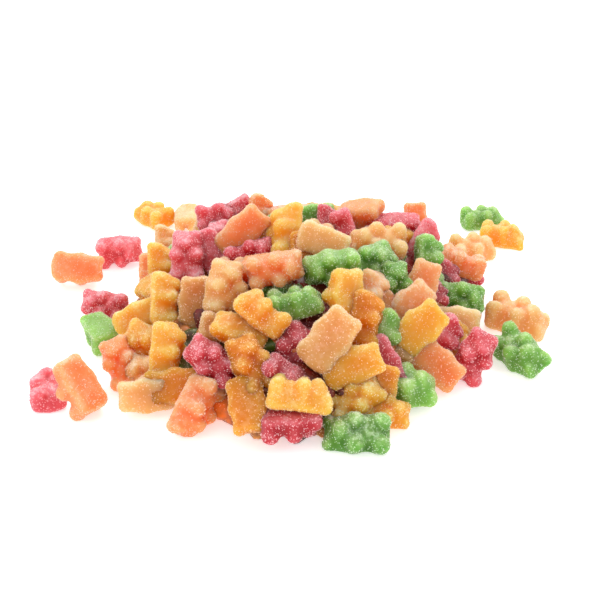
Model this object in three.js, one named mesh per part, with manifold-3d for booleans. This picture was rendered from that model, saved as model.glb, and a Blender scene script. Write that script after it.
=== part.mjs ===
// A heap of sugared gummy bears on a table, with a few strays lying round it.
// Millimetres, +Z up, the table top at z = 0, the front of the heap towards -Y.
// The heap is one closed solid: a low core with every bear that shows fused on.
// Each stray is a solid of its own that lies clear of the heap and of the others.
import * as THREE from 'three';
import { mergeVertices } from 'three/addons/utils/BufferGeometryUtils.js';
import Module from 'manifold-3d';

const wasm = await Module();
wasm.setup();

// ---------- driving dimensions ----------

// One bear, 20 mm long, 12.6 mm wide and 10.5 mm thick. Its own axes: x to its left and right,
// y from feet to head, z out of the belly, with the flat back at z = 0.
// Each lump is an ellipsoid: centre, then half-widths. A limb runs from its root to its tip.
const BEAR_THICKNESS = 10.5;
const HEAD = { centre: [0, 4.8, 2.4], half: [5.4, 4.6, 6.8] };
const EAR = { centre: [3.3, 8.0, 2.4], half: [2.1, 2.0, 3.8] };
const SNOUT = { centre: [0, 4.8, 7.8], half: [2.6, 2.2, 2.6] };
const TRUNK = { centre: [0, -3.0, 2.2], half: [5.6, 7.0, 5.8] };
const BELLY = { centre: [0, -3.2, 5.2], half: [3.8, 4.0, 3.3] };
const BASE = { centre: [0, -0.2, 0.8], half: [5.6, 9.6, 3.4] };
const ARM = { root: [3.8, 0.9, 2.2], tip: [3.6, 0.6, 7.6], radius: 2.5 };
const LEG = { root: [3.5, -6.9, 2.2], tip: [3.5, -7.2, 7.4], radius: 2.7 };
const FILLET = { ear: 1.4, face: 1.6, neck: 3.0, base: 1.6, limb: 1.8, back: 1.9 };

// The faceted skin is found on rays that leave a spine inside the body. A ring of them has a
// place along the spine and a tilt towards the feet or the head, and each ray in it a bearing
// round the spine from the belly, all in degrees. The last two go to the flat back's edges.
const SPINE_DEPTH = 4.8;
const FEET_END = -6.0;
const CROWN_END = 5.2;
const REACH = 12;
const MARCH_STEP = 0.125;
const HALVINGS = 12;
const WHOLE_FORM = {
  bearings: [0, 38, 72, 102, 131, 229, 258, 288, 322],
  rings: [
    { y: -6.0, tilt: -48 },
    { y: -7.9, tilt: 0 },
    { y: -4.2, tilt: 0 },
    { y: 0.6, tilt: 0 },
    { y: 2.9, tilt: 0 },
    { y: 5.2, tilt: 4 },
    { y: 5.2, tilt: 46 },
  ],
};
const HEAPED_FORM = {
  bearings: [0, 48, 90, 131, 229, 270, 312],
  rings: [
    { y: -6.0, tilt: -48 },
    { y: -6.8, tilt: 0 },
    { y: 0.6, tilt: 0 },
    { y: 4.4, tilt: 0 },
    { y: 5.2, tilt: 46 },
  ],
};
const HIDDEN_FORM = {
  bearings: [0, 76, 131, 229, 284],
  rings: [
    { y: -6.0, tilt: -40 },
    { y: -5.6, tilt: 0 },
    { y: 4.2, tilt: 0 },
    { y: 5.2, tilt: 46 },
  ],
};

// The heap's form: a mound over an oval that is deeper in front and whose front right corner
// is drawn in, with this many millimetres from the table to the middle of a bear at its edge,
// and the rise above that.
const MOUND = {
  x: 2,
  y: -15,
  halfWidth: 70,
  frontDepth: 80,
  backDepth: 74,
  drawnIn: 0.9,
  edge: 5,
  rise: 33,
  fullness: 0.65,
};
const CORE = { rings: [0.4, 0.7, 0.88, 0.94], sides: 24, sink: 4.5 };

// Bears on the side turned away from the front, and those in the holes between the listed
// ones, follow a rule: rows round the mound, the outermost along the far side alone.
const FILL_ROWS = [
  { out: 0.98, gap: 14.0, from: 8, to: 172 },
  { out: 0.82, gap: 13.5, from: 0, to: 359 },
  { out: 0.65, gap: 13.0, from: 0, to: 359 },
  { out: 0.48, gap: 12.5, from: 0, to: 359 },
  { out: 0.31, gap: 12.5, from: 0, to: 359 },
  { out: 0.12, gap: 12.5, from: 0, to: 359 },
];
const FILL_CLEARANCE = 9;
const FILL_SINK = 4;
const GOLDEN_TURN = 137.508;
const QUARTER_TURN = 90;
const STEEPEST = 1.1;
const SLOPE_STEP = 1;

// A bear sunk this far into the heap shows little, and so do those in the rows.
const SUNK = 1.5;

// The bears are set as they look from the front, from this many degrees above the table.
const SIGHT_HEIGHT = 30;

const COLOURS = {
  red: 0xc4283c,
  orange: 0xee7a3c,
  yellow: 0xf0b43c,
  amber: 0xe0963a,
  peach: 0xecae7a,
  green: 0x6f9c4a,
};
const CORE_COLOUR = 0xd98a48;

// One row a bear: colour; middle of the body x, y, z; clock, the way its head points, in degrees
// clockwise from straight up; lean, how far its head tips towards the front; spin, how far the
// belly is turned from the front, with the flat back showing at 180; and its size.
const HEAP_BEARS = [
  // along the front edge, on the table
  ['orange', -65, -57, 9, -23, 0, 0, 0.95],
  ['peach', -55, -61, 7, -70, 0, 0, 0.95],
  ['amber', -53, -73, 7, -97, 10, 170, 1.02],
  ['amber', -44, -71, 9, 80, 0, 180, 1],
  ['orange', -35, -83, 8, 205, 15, -60, 1.08],
  ['amber', -18, -86, 11, 170, 25, 180, 1],
  ['red', -4, -91, 8, 85, 0, 115, 1],
  ['amber', 6, -84, 5, 90, 0, 0, 1],
  ['red', -6, -80, 16, 120, 0, 30, 1],
  ['green', 17, -93, 6, -88, 0, 15, 1.06],
  ['yellow', 27, -81, 6, 98, 0, -30, 0.9],
  ['green', 34, -70, 9, 95, 0, -50, 1.14],
  ['orange', 46, -58, 9, 130, 0, 180, 1.02],
  ['red', 61, -54, 9, 28, 15, 10, 1],
  // second tier, left to right
  ['yellow', -56, -50, 12, -60, 0, -30, 1],
  ['yellow', -46, -63, 17, 4, 0, 75, 1.08],
  ['red', -31, -73, 20, -55, 0, 0, 0.96],
  ['amber', -17, -77, 22, -22, 0, 20, 1.02],
  ['yellow', -22, -64, 25, -72, 0, -130, 1],
  ['red', -4, -69, 21, 30, 0, 0, 1],
  ['yellow', -1, -88, 18, 98, 0, -90, 1.06],
  ['yellow', 17, -82, 11, 60, 0, -20, 1.02],
  ['yellow', 16, -75, 20, 72, 0, 180, 1.02],
  ['amber', 25, -75, 10, 20, 0, 180, 0.95],
  ['red', 27, -65, 14, 150, 0, 180, 0.95],
  ['peach', 34, -58, 12, 30, 0, 90, 0.9],
  ['red', 51, -46, 11, 30, 0, 90, 0.95],
  ['yellow', 56, -43, 9, 0, 0, 90, 0.9],
  ['peach', 56, -35, 13, 90, 0, 180, 0.9],
  // left shoulder
  ['yellow', -61, -34, 14, 62, 0, 180, 0.95],
  ['yellow', -50, -36, 23, 0, 0, 90, 1.05],
  ['yellow', -56, -5, 19, 0, 0, 90, 1.05],
  ['orange', -62, 6, 10, 0, 0, 90, 0.95],
  ['peach', -59, 28, 13, 0, 0, 90, 0.9],
  ['amber', -54, 28, 6, 90, 0, 0, 1],
  ['peach', -39, -39, 23, 0, 0, 180, 0.95],
  ['peach', -32, -58, 20, 10, 0, 90, 0.9],
  ['red', -44, -20, 32, 0, 0, 0, 1.06],
  ['red', -35, -13, 30, 150, 0, 180, 0.95],
  // middle
  ['peach', -27, -46, 33, 8, 0, 30, 1.04],
  ['yellow', -14, -61, 32, -52, 0, 90, 1.04],
  ['red', 4, -52, 25, 60, 0, 0, 1],
  ['green', -3, -54, 32, 80, 0, -70, 0.98],
  ['green', -9, -44, 28, 90, 0, 0, 0.9],
  ['orange', -10, -42, 38, 78, 0, 10, 1],
  ['peach', 9, -71, 27, 38, 0, 165, 1.1],
  ['yellow', 13, -53, 33, 0, 0, -140, 1.06],
  ['amber', 22, -58, 27, 3, 0, 70, 1.04],
  ['green', 29, -56, 19, 20, 0, 90, 0.95],
  ['orange', 29, -45, 22, 10, 0, 90, 0.9],
  ['orange', 25, -43, 28, 12, 0, 60, 0.95],
  ['green', 10, -39, 37, -98, 0, -20, 1.02],
  ['green', 24, -29, 34, 60, 0, 0, 1],
  ['green', 33, -36, 28, 0, 0, 20, 1],
  // right shoulder
  ['yellow', 40, -53, 21, 50, 0, 180, 1.04],
  ['orange', 37, -43, 24, 50, 0, 180, 0.98],
  ['orange', 43, -30, 25, 20, 0, 180, 0.98],
  ['red', 50, -28, 17, 0, 0, 90, 0.85],
  ['green', 59, -25, 17, 92, 0, 0, 0.95],
  ['green', 48, -15, 28, 0, 0, 90, 1],
  ['red', 56, -12, 17, 0, 0, 90, 0.9],
  ['orange', 61, -4, 22, -68, 0, 75, 1.04],
  ['red', 69, 3, 9, 0, 0, 90, 0.9],
  // crest and what shows behind it
  ['red', -20, -19, 32, 70, 0, 0, 0.95],
  ['orange', -24, -9, 37, 42, 0, 190, 1.08],
  ['amber', -16, -8, 33, 90, 0, 180, 1],
  ['yellow', -8, -14, 39, 4, -15, -70, 1.14],
  ['amber', 0, -23, 33, 0, 0, 90, 1],
  ['peach', 7, -24, 40, 110, 0, 180, 1],
  ['green', 29, -15, 31, 80, 0, 180, 0.95],
  ['peach', 28, -15, 36, -88, 0, 30, 1.06],
  ['amber', 34, -14, 29, 0, 0, 90, 0.9],
  ['red', 47, 0, 28, 35, 0, 90, 0.95],
  ['red', 37, 8, 31, 88, 0, 125, 0.92],
  ['orange', 47, 31, 22, 0, 0, 180, 0.9],
  ['red', 10, 7, 32, 0, 0, 90, 0.9],
  ['red', 16, 0, 32, 160, 0, 90, 0.95],
  ['orange', 23, 14, 34, 90, 35, 125, 0.98],
  ['green', 3, 13, 32, 80, 0, 180, 0.95],
  ['orange', -18, 23, 29, 0, 0, 90, 0.95],
  ['red', -36, 25, 28, 80, 0, 0, 0.9],
  ['red', -29, 29, 28, 60, 0, 90, 0.85],
  ['peach', -41, 29, 19, 0, 0, 180, 0.9],
];

// Strays in the same terms, with a name of their own; they are lowered until they rest.
const STRAYS = {
  stray_green_back_right: ['green', 85, 75, 84, -10, -58, 0.98],
  stray_yellow_back_right: ['yellow', 91, 56, 98, 13, -59, 1.04],
  stray_peach_back_right: ['peach', 75, 40, 84, -10, -40, 1.02],
  stray_peach_right: ['peach', 83, -20, 108, 24, -45, 1.2],
  stray_green_right: ['green', 78, -46, 131, 48, -10, 1.14],
  stray_yellow_back_left: ['yellow', -72, 78, -63, -38, 51, 1],
  stray_peach_back_left: ['peach', -56, 74, 0, -60, 180, 0.9],
  stray_red_left: ['red', -81, 34, 85, 0, 30, 1.02],
  stray_orange_left: ['orange', -95, 17, 95, 0, 170, 1.1],
  stray_red_by_heap: ['red', -79, -14, -80, 0, 0, 0.95],
  stray_green_by_heap: ['green', -77, -31, -49, -49, -139, 0.95],
  stray_red_front_left: ['red', -89, -66, -28, -57, 26, 0.95],
  stray_orange_front_left: ['orange', -77, -73, -32, 0, -130, 1.04],
};
const FLAT_SPOT = 0.4;

// The room above the table that the bears are cut to, and how near two points are one.
const ROOM_SIDE = 400;
const ROOM_HEIGHT = 200;
const SAME_POINT = 1e-5;

// ---------- one bear ----------

// Distance from a point to an ellipsoid's skin, below zero inside.
function toEllipsoid(point, { centre, half }) {
  const scaled = point.clone().sub(new THREE.Vector3(...centre));
  const byHalf = scaled.clone().divide(new THREE.Vector3(...half));
  const byHalfTwice = byHalf.clone().divide(new THREE.Vector3(...half));
  const k = byHalf.length();
  return (k * (k - 1)) / Math.max(byHalfTwice.length(), 1e-9);
}

// Distance from a point to a round-ended limb.
function toLimb(point, { root, tip, radius }) {
  const line = new THREE.Line3(new THREE.Vector3(...root), new THREE.Vector3(...tip));
  const nearest = line.closestPointToPoint(point, true, new THREE.Vector3());
  return nearest.distanceTo(point) - radius;
}

// The lesser of two distances, with a fillet where the two skins meet.
function join(a, b, fillet) {
  const overlap = Math.max(fillet - Math.abs(a - b), 0) / fillet;
  return Math.min(a, b) - (overlap * overlap * fillet) / 4;
}

// Distance to the whole bear's skin: head, ears and snout, trunk and belly, the base that
// fills the outline next to the flat back, arms and legs.
function toBear(point) {
  const p = new THREE.Vector3(Math.abs(point.x), point.y, point.z);
  let head = join(toEllipsoid(p, HEAD), toEllipsoid(p, EAR), FILLET.ear);
  head = join(head, toEllipsoid(p, SNOUT), FILLET.face);
  const trunk = join(toEllipsoid(p, TRUNK), toEllipsoid(p, BELLY), FILLET.face);
  let body = join(head, trunk, FILLET.neck);
  body = join(body, toEllipsoid(p, BASE), FILLET.base);
  body = join(body, toLimb(p, ARM), FILLET.limb);
  body = join(body, toLimb(p, LEG), FILLET.limb);
  return -join(-body, p.z, FILLET.back);
}

// The outermost point of the skin along a ray, marched to from outside and then halved on.
function onSkin(start, direction) {
  const at = (distance) => start.clone().addScaledVector(direction, distance);
  let outside = REACH;
  while (outside > MARCH_STEP && toBear(at(outside - MARCH_STEP)) > 0) outside -= MARCH_STEP;
  let inside = outside - MARCH_STEP;
  for (let halving = 0; halving < HALVINGS; halving += 1) {
    const middle = (inside + outside) / 2;
    if (toBear(at(middle)) > 0) outside = middle;
    else inside = middle;
  }
  return at(inside);
}

// Rings of points from feet to crown, closed by a point at each end.
// The body is then centred on its thickness.
function bearGeometry({ rings, bearings }) {
  const points = [];
  const sides = bearings.length;
  for (const { y, tilt } of rings) {
    const rise = THREE.MathUtils.degToRad(tilt);
    for (const bearing of bearings) {
      const round = THREE.MathUtils.degToRad(bearing);
      const direction = new THREE.Vector3(
        Math.cos(rise) * Math.sin(round),
        Math.sin(rise),
        Math.cos(rise) * Math.cos(round),
      );
      points.push(onSkin(new THREE.Vector3(0, y, SPINE_DEPTH), direction));
    }
  }
  const feet = points.length;
  const crown = feet + 1;
  points.push(onSkin(new THREE.Vector3(0, FEET_END, SPINE_DEPTH), new THREE.Vector3(0, -1, 0)));
  points.push(onSkin(new THREE.Vector3(0, CROWN_END, SPINE_DEPTH), new THREE.Vector3(0, 1, 0)));

  const faces = [];
  const last = (rings.length - 1) * sides;
  for (let side = 0; side < sides; side += 1) {
    const next = (side + 1) % sides;
    for (let start = 0; start < last; start += sides) {
      faces.push(start + side, start + sides + next, start + sides + side);
      faces.push(start + side, start + next, start + sides + next);
    }
    faces.push(feet, next, side);
    faces.push(crown, last + side, last + next);
  }
  const geometry = new THREE.BufferGeometry().setFromPoints(points);
  geometry.setIndex(faces);
  geometry.translate(0, 0, -BEAR_THICKNESS / 2);
  return geometry;
}

// ---------- solids ----------

function toSolid(geometry) {
  const bare = new THREE.BufferGeometry();
  bare.setAttribute('position', geometry.getAttribute('position'));
  bare.setIndex(geometry.getIndex());
  const merged = mergeVertices(bare, SAME_POINT);
  return new wasm.Manifold(new wasm.Mesh({
    numProp: 3,
    vertProperties: new Float32Array(merged.getAttribute('position').array),
    triVerts: new Uint32Array(merged.getIndex().array),
  }));
}

function toGeometry(solid) {
  const { vertProperties, triVerts } = solid.getMesh();
  const geometry = new THREE.BufferGeometry();
  geometry.setAttribute('position', new THREE.BufferAttribute(new Float32Array(vertProperties), 3));
  geometry.setIndex(new THREE.BufferAttribute(new Uint32Array(triVerts), 1));
  return geometry;
}

// Everything above the table.
function aboveTable() {
  const room = new THREE.BoxGeometry(ROOM_SIDE, ROOM_SIDE, ROOM_HEIGHT);
  room.translate(0, 0, ROOM_HEIGHT / 2);
  return toSolid(room);
}

// ---------- setting the bears ----------

// Turns a bear from its own axes into the heap's: spin, then lean, then clock, all as seen
// along the line of sight.
function turnFor(clock, lean, spin) {
  const sight = THREE.MathUtils.degToRad(SIGHT_HEIGHT);
  const right = new THREE.Vector3(1, 0, 0);
  const up = new THREE.Vector3(0, Math.sin(sight), Math.cos(sight));
  const towardsEye = new THREE.Vector3(0, -Math.cos(sight), Math.sin(sight));
  return new THREE.Matrix4()
    .makeBasis(right, up, towardsEye)
    .multiply(new THREE.Matrix4().makeRotationZ(-THREE.MathUtils.degToRad(clock)))
    .multiply(new THREE.Matrix4().makeRotationX(THREE.MathUtils.degToRad(lean)))
    .multiply(new THREE.Matrix4().makeRotationY(THREE.MathUtils.degToRad(spin)));
}

// How much of the mound's half-width and half-depth a place lies out from the middle, squared.
function outSquared(x, y) {
  const across = (x - MOUND.x) / MOUND.halfWidth;
  const along = (y - MOUND.y) / (y < MOUND.y ? MOUND.frontDepth : MOUND.backDepth);
  const frontRight = Math.max(across, 0) * Math.max(-along, 0);
  return across * across + along * along + MOUND.drawnIn * frontRight;
}

// Height of a bear's middle on the bare mound.
function moundHeight(x, y) {
  return MOUND.edge + MOUND.rise * Math.max(1 - outSquared(x, y), 0) ** MOUND.fullness;
}

// The place at a bearing from the mound's middle and a share of the way out to its edge.
function onMound(bearing, out) {
  const x = MOUND.halfWidth * Math.cos(bearing);
  const y = MOUND.frontDepth * Math.sin(bearing);
  const share = out / Math.sqrt(outSquared(MOUND.x + x, MOUND.y + y));
  return { x: MOUND.x + x * share, y: MOUND.y + y * share };
}

// A bear lying on the mound's slope, its head at a heading seen from above and rolled about
// its own length.
function turnOnSlope(x, y, heading, roll) {
  const acrossRise = moundHeight(x + SLOPE_STEP, y) - moundHeight(x - SLOPE_STEP, y);
  const alongRise = moundHeight(x, y + SLOPE_STEP) - moundHeight(x, y - SLOPE_STEP);
  const slopeX = acrossRise / (2 * SLOPE_STEP);
  const slopeY = alongRise / (2 * SLOPE_STEP);
  const steepness = Math.hypot(slopeX, slopeY);
  const ease = steepness > STEEPEST ? STEEPEST / steepness : 1;
  const out = new THREE.Vector3(-slopeX * ease, -slopeY * ease, 1).normalize();
  const angle = THREE.MathUtils.degToRad(heading);
  const head = new THREE.Vector3(Math.cos(angle), Math.sin(angle), 0);
  head.addScaledVector(out, -head.dot(out)).normalize();
  const side = new THREE.Vector3().crossVectors(head, out);
  return new THREE.Matrix4()
    .makeBasis(side, head, out)
    .multiply(new THREE.Matrix4().makeRotationY(THREE.MathUtils.degToRad(roll)));
}

// The solid of a bear turned, brought to its size and moved to its place.
function setBear(geometry, turn, size, x, y, z) {
  const scaled = turn.clone().scale(new THREE.Vector3(size, size, size));
  const matrix = new THREE.Matrix4().makeTranslation(x, y, z).multiply(scaled);
  return toSolid(geometry.clone().applyMatrix4(matrix));
}

// The places in the rows where no bear of the list stands already.
function fillPlaces() {
  const places = [];
  for (const { out, gap, from, to } of FILL_ROWS) {
    const meanRadius = (out * (MOUND.halfWidth + MOUND.backDepth)) / 2;
    const stepDegrees = THREE.MathUtils.radToDeg(gap / meanRadius);
    for (let bearing = from; bearing <= to; bearing += stepDegrees) {
      const { x, y } = onMound(THREE.MathUtils.degToRad(bearing), out);
      const taken = HEAP_BEARS.some(([, bearX, bearY]) => (
        Math.hypot(bearX - x, bearY - y) < FILL_CLEARANCE));
      if (!taken) places.push({ x, y, number: places.length });
    }
  }
  return places;
}

// ---------- the heap ----------

const wholeBear = bearGeometry(WHOLE_FORM);
const heapedBear = bearGeometry(HEAPED_FORM);
const hiddenBear = bearGeometry(HIDDEN_FORM);

// The core is the mound sunk, cut off short of its edge and closed by a flat underside.
function coreSolid() {
  const { rings, sides, sink } = CORE;
  const points = [new THREE.Vector3(MOUND.x, MOUND.y, moundHeight(MOUND.x, MOUND.y) - sink)];
  const edge = rings[rings.length - 1];
  for (const out of [...rings, edge]) {
    for (let side = 0; side < sides; side += 1) {
      const { x, y } = onMound((2 * Math.PI * side) / sides, out);
      const onTable = points.length > rings.length * sides;
      points.push(new THREE.Vector3(x, y, onTable ? 0 : moundHeight(x, y) - sink));
    }
  }
  const underside = points.length;
  points.push(new THREE.Vector3(MOUND.x, MOUND.y, 0));
  const at = (ring, side) => 1 + ring * sides + (side % sides);
  const last = rings.length;
  const faces = [];
  for (let side = 0; side < sides; side += 1) {
    faces.push(0, at(0, side), at(0, side + 1));
    for (let ring = 0; ring < last; ring += 1) {
      faces.push(at(ring, side), at(ring + 1, side), at(ring + 1, side + 1));
      faces.push(at(ring, side), at(ring + 1, side + 1), at(ring, side + 1));
    }
    faces.push(underside, at(last, side + 1), at(last, side));
  }
  const geometry = new THREE.BufferGeometry().setFromPoints(points);
  geometry.setIndex(faces);
  return toSolid(geometry);
}

function heapSolid() {
  let heap = coreSolid();
  for (const [, x, y, z, clock, lean, spin, size] of HEAP_BEARS) {
    const form = z < moundHeight(x, y) - SUNK ? hiddenBear : heapedBear;
    heap = heap.add(setBear(form, turnFor(clock, lean, spin), size, x, y, z));
  }
  for (const { x, y, number } of fillPlaces()) {
    const turn = turnOnSlope(x, y, number * GOLDEN_TURN, (number % 4) * QUARTER_TURN);
    heap = heap.add(setBear(hiddenBear, turn, 1, x, y, moundHeight(x, y) - FILL_SINK));
  }
  const standing = heap.intersect(aboveTable());
  // Gaps that fusing sealed are filled, and a scrap that touches nothing is dropped.
  const bodies = standing.decompose();
  return bodies.reduce((largest, body) => (body.volume() > largest.volume() ? body : largest));
}

// ---------- the strays ----------

// A stray is lowered until it lies on a small flat spot.
function straySolid([, x, y, clock, lean, spin, size]) {
  const solid = setBear(wholeBear, turnFor(clock, lean, spin), size, x, y, 0);
  const lowest = solid.boundingBox().min[2];
  return solid.translate([0, 0, -lowest - FLAT_SPOT * size]).intersect(aboveTable());
}

// ---------- the scene graph ----------

function sugared(colour) {
  return new THREE.MeshStandardMaterial({ color: colour, roughness: 0.6, metalness: 0 });
}

const group = new THREE.Group();

const heap = new THREE.Mesh(toGeometry(heapSolid()), sugared(CORE_COLOUR));
heap.name = 'bear_heap';
group.add(heap);

for (const [name, row] of Object.entries(STRAYS)) {
  const geometry = toGeometry(straySolid(row));
  const [colour, x, y] = row;
  geometry.translate(-x, -y, 0);
  const stray = new THREE.Mesh(geometry, sugared(COLOURS[colour]));
  stray.name = name;
  stray.position.set(x, y, 0);
  group.add(stray);
}

export default group;
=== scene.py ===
"""A heap of sugared gummy bears, with strays lying round it, on a white table.

Each bear is one smooth skin round a few lumps, pulled out of true a little so that no two are
alike, and then turned and set in its place. Sugar grains are small crystals stuck on the skins.
"""

# %% [markdown]
# # A heap of sugared gummy bears
#
# A gummy bear is cast in a starch mould: a rounded animal with a flat back, which cools, is
# tipped out, steamed and tumbled in sugar. A heap of them could be made by dropping loose
# bodies with a physics simulation, but then nothing lies where it should. Here every bear
# that shows has a row in a table of places, and numpy turns the table into meshes in one go.

# %% The frame
from math import cos, pi, radians, sin

import bpy
import numpy as np
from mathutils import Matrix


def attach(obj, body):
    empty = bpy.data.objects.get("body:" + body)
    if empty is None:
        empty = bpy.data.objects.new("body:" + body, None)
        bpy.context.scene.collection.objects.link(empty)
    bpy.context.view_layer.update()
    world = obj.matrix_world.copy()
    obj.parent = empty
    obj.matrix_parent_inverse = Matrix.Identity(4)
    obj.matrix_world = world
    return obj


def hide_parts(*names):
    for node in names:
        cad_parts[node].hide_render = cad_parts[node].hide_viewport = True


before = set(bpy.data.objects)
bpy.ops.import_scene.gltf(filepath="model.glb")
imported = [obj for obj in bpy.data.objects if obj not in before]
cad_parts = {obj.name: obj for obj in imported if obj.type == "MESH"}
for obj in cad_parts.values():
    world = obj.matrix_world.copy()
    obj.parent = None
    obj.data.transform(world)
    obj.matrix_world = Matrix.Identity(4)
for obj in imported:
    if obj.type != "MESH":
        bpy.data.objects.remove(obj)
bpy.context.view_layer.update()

# %% [markdown]
# ## The camera
#
# A plate of sweets is seen by someone who sits at the table, so the camera looks down by
# thirty degrees. The lens is given by how many pixels a thing as wide as it is far away would
# fill; dividing by the side of the square picture makes that a focal length.

# %% The camera
PICTURE_SIDE = 608
PIXELS_AT_UNIT_WIDTH = 942
LOOK_DOWN = radians(30)
EYE_DISTANCE = 0.3866

lens = bpy.data.cameras.new("table_camera")
lens.sensor_width = 36
lens.lens = lens.sensor_width * PIXELS_AT_UNIT_WIDTH / PICTURE_SIDE
lens.clip_start = 0.01
camera = bpy.data.objects.new("table_camera", lens)
camera.location = (0, -cos(LOOK_DOWN) * EYE_DISTANCE, sin(LOOK_DOWN) * EYE_DISTANCE)
camera.rotation_euler = (pi / 2 - LOOK_DOWN, 0, 0)
bpy.context.scene.collection.objects.link(camera)
bpy.context.scene.camera = camera
print("lens in mm:", round(lens.lens, 1))

# %% [markdown]
# ## The lumps of one bear
#
# Sizes are in millimetres, as a mould maker would give them: x runs across the bear, y from
# its feet to its head and z out of its belly, with the flat back at z = 0. The body could be
# sculpted, but a distance field is shorter: each lump says how far away its skin is, and a
# soft minimum melts the lumps together with a fillet, as syrup does in a mould.

# %% Distance to a lump
TINY = 1e-9  # keeps a division clear of zero


def to_ellipsoid(points, centre, half):
    """Near an ellipsoid the distance is k (k - 1) / l, where k is the length of the point
    divided by the half-widths and l that of the point divided by them twice."""
    by_half = (points - np.array(centre)) / np.array(half)
    k = np.linalg.norm(by_half, axis=-1)
    l = np.linalg.norm(by_half / np.array(half), axis=-1)
    return k * (k - 1) / np.maximum(l, TINY)


def to_limb(points, root, tip, radius):
    """Distance to the nearest point of the line from root to tip, less the radius."""
    root, tip = np.array(root), np.array(tip)
    along = tip - root
    share = np.clip((points - root) @ along / (along @ along), 0, 1)
    return np.linalg.norm(points - root - share[..., None] * along, axis=-1) - radius


def melt(a, b, fillet):
    """Soft minimum: min(a, b) less a parabola where the two are closer than the fillet."""
    overlap = np.maximum(fillet - np.abs(a - b), 0) / fillet
    return np.minimum(a, b) - overlap**2 * fillet / 4


# %% Distance to a bear
# a round lump has a middle and half-widths; a limb has a root, a tip and a radius
BEAR_THICKNESS = 10.5
HEAD = (0, 4.8, 2.4), (5.4, 4.6, 6.8)
EAR = (3.3, 8.0, 2.4), (2.1, 2.0, 3.8)
SNOUT = (0, 4.8, 7.8), (2.6, 2.2, 2.6)
TRUNK = (0, -3.0, 2.2), (5.6, 7.0, 5.8)
BELLY = (0, -3.2, 5.2), (3.8, 4.0, 3.3)
BASE = (0, -0.2, 0.8), (5.6, 9.6, 3.4)
ARM = (3.8, 0.9, 2.2), (3.6, 0.6, 7.6), 2.5
LEG = (3.5, -6.9, 2.2), (3.5, -7.2, 7.4), 2.7
FILLET = {"ear": 1.4, "snout": 1.6, "belly": 1.6, "neck": 3.0, "base": 1.6, "limb": 1.8,
          "back": 2.4}


def to_bear(points):
    """Head with ears and snout, trunk with belly, the base that fills the outline next to the
    flat back, arms and legs, one melted to the next, and cut off with a fillet at the back.
    The point's x is made positive first, so that both sides are alike."""
    p = points.copy()
    p[..., 0] = np.abs(p[..., 0])
    head = melt(to_ellipsoid(p, *HEAD), to_ellipsoid(p, *EAR), FILLET["ear"])
    head = melt(head, to_ellipsoid(p, *SNOUT), FILLET["snout"])
    trunk = melt(to_ellipsoid(p, *TRUNK), to_ellipsoid(p, *BELLY), FILLET["belly"])
    body = melt(head, trunk, FILLET["neck"])
    body = melt(body, to_ellipsoid(p, *BASE), FILLET["base"])
    body = melt(body, to_limb(p, *ARM), FILLET["limb"])
    body = melt(body, to_limb(p, *LEG), FILLET["limb"])
    return -melt(-body, p[..., 2], FILLET["back"])


# %% [markdown]
# ## From a distance to a skin
#
# Marching cubes would give a skin of uneven triangles. A bear is nearly a sausage, so rays
# from a spine inside it meet its skin once each, and the places where they do make an even
# grid: rings from the feet to the crown, closed by one point at each end.

# %% The skin as a grid
SPINE_FEET, SPINE_CROWN, SPINE_DEPTH = -6.0, 5.2, 4.8
BACK_EDGE, EDGE_WIDTH, CROWDING = radians(50), radians(12), 3
HALF_DEGREES = 720
REACH, STRIDE, HALVINGS = 12.0, 0.125, 20
END_WAYS = [(0, -1, 0), (0, 1, 0)]


def rings_of(cap, middle):
    """Places of the rings: the cap rings stay at an end of the spine and tilt from nearly
    90 degrees down to 0, the middle rings step along it."""
    tilt = np.linspace(pi / 2, 0, cap + 1)[1:-1]
    y = np.concatenate([
        np.full(cap - 1, SPINE_FEET),
        np.linspace(SPINE_FEET, SPINE_CROWN, middle),
        np.full(cap - 1, SPINE_CROWN),
    ])
    tilts = np.concatenate([-tilt, np.zeros(middle), tilt[::-1]])
    return y, tilts


def sides_of(sides):
    """Side angles, three times as close round the back's two edges as elsewhere: the running
    total of a density with two bell-shaped humps, divided evenly."""
    angle = np.linspace(0, 2 * pi, HALF_DEGREES + 1)
    hump = np.exp(-((np.abs(angle - pi) - BACK_EDGE) / EDGE_WIDTH) ** 2)
    density = 1 + (CROWDING - 1) * (hump[1:] + hump[:-1]) / 2
    total = np.concatenate([[0], np.cumsum(density)])
    return np.interp(np.arange(sides) / sides, total / total[-1], angle)


def skin_of(cap, middle, sides):
    """A ray leaves (0, y, depth) in the direction (cos t sin a, sin t, cos t cos a) for ring
    tilt t and side angle a. Strides inwards from its reach find the last place that is still
    outside, and halving closes in on the skin. Returns the grid (rings, sides, 3) and the two
    end points, with the middle of the bear's thickness at z = 0."""
    y, tilts = rings_of(cap, middle)
    t, a = np.meshgrid(tilts, sides_of(sides), indexing="ij")
    ways = np.stack([np.cos(t) * np.sin(a), np.sin(t), np.cos(t) * np.cos(a)], -1)
    starts = np.zeros_like(ways)
    starts[..., 1] = y[:, None]
    starts[..., 2] = SPINE_DEPTH
    ends = np.array([(0, SPINE_FEET, SPINE_DEPTH), (0, SPINE_CROWN, SPINE_DEPTH)])
    starts = np.vstack([starts.reshape(-1, 3), ends])
    ways = np.vstack([ways.reshape(-1, 3), END_WAYS])

    far = np.full(len(ways), REACH)
    for distance in np.arange(REACH, 0, -STRIDE):
        outside = to_bear(starts + ways * distance) > 0
        far = np.where(outside, distance, far)
    near = far - STRIDE
    for _ in range(HALVINGS):
        halfway = (near + far) / 2
        outside = to_bear(starts + ways * halfway[:, None]) > 0
        far, near = np.where(outside, halfway, far), np.where(outside, near, halfway)
    points = starts + ways * near[:, None] - (0, 0, BEAR_THICKNESS / 2)
    return points[:-2].reshape(len(y), sides, 3), points[-2:]


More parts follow.
